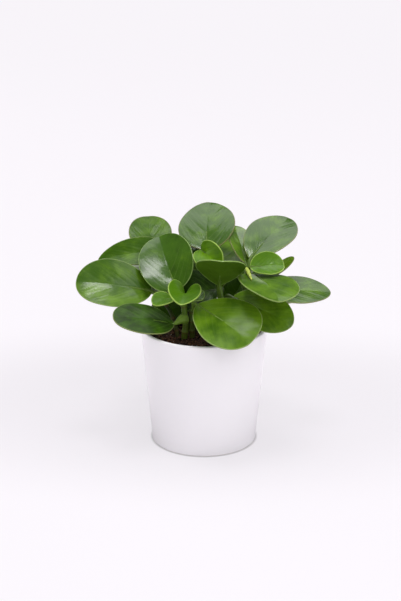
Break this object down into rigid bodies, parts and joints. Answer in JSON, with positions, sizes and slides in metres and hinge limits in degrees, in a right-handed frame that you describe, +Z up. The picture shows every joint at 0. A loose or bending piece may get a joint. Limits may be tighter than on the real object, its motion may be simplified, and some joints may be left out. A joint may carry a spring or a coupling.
{
  "type": "potted plant",
  "caption": "Baby rubber plant (peperomia) with thick round green leaves on fleshy stems, in a plain white glazed pot.",
  "frame": {"origin": "centre of the pot's flat base, in the plane it stands on", "axes": "+Z up along the pot's axis; +X to the right and +Y to the back as the plant is seen from its front"},
  "size_m": [0.2626, 0.1962, 0.2308],
  "materials": {
    "glaze": "gloss",
    "soil": "matte",
    "stem": "satin",
    "leaf": "satin",
    "young_leaf": "satin"
  },
  "bodies": {
    "root": {"pot": "glaze", "soil": "soil", "stem_front_left": "stem", "stem_front": "stem", "stem_left": "stem", "stem_centre": "stem", "stem_right": "stem", "stem_back_left": "stem", "stem_back": "stem", "stem_back_right": "stem", "leaf_front_rim": "leaf", "leaf_left_wide": "leaf", "leaf_centre_left": "leaf", "leaf_top": "leaf", "leaf_top_right": "leaf", "leaf_right_inner": "leaf", "leaf_right_front": "leaf", "leaf_right_far": "leaf", "leaf_right_low": "leaf", "leaf_right_sliver": "leaf", "leaf_centre_fan": "leaf", "leaf_centre_low": "leaf", "leaf_left_low": "leaf", "leaf_left_upper": "leaf", "leaf_left_back": "leaf", "leaf_young_right": "young_leaf", "leaf_young_left": "young_leaf", "leaf_young_centre": "young_leaf", "leaf_young_small": "young_leaf", "leaf_young_side": "young_leaf", "leaf_back_mid": "leaf", "leaf_back_left": "leaf", "leaf_back_right": "leaf", "leaf_back_left_low": "leaf", "leaf_back_right_low": "leaf", "leaf_back_low": "leaf", "leaf_back_inner": "leaf", "leaf_inner_right": "leaf", "leaf_inner_left": "leaf"}
  },
  "joints": []
}
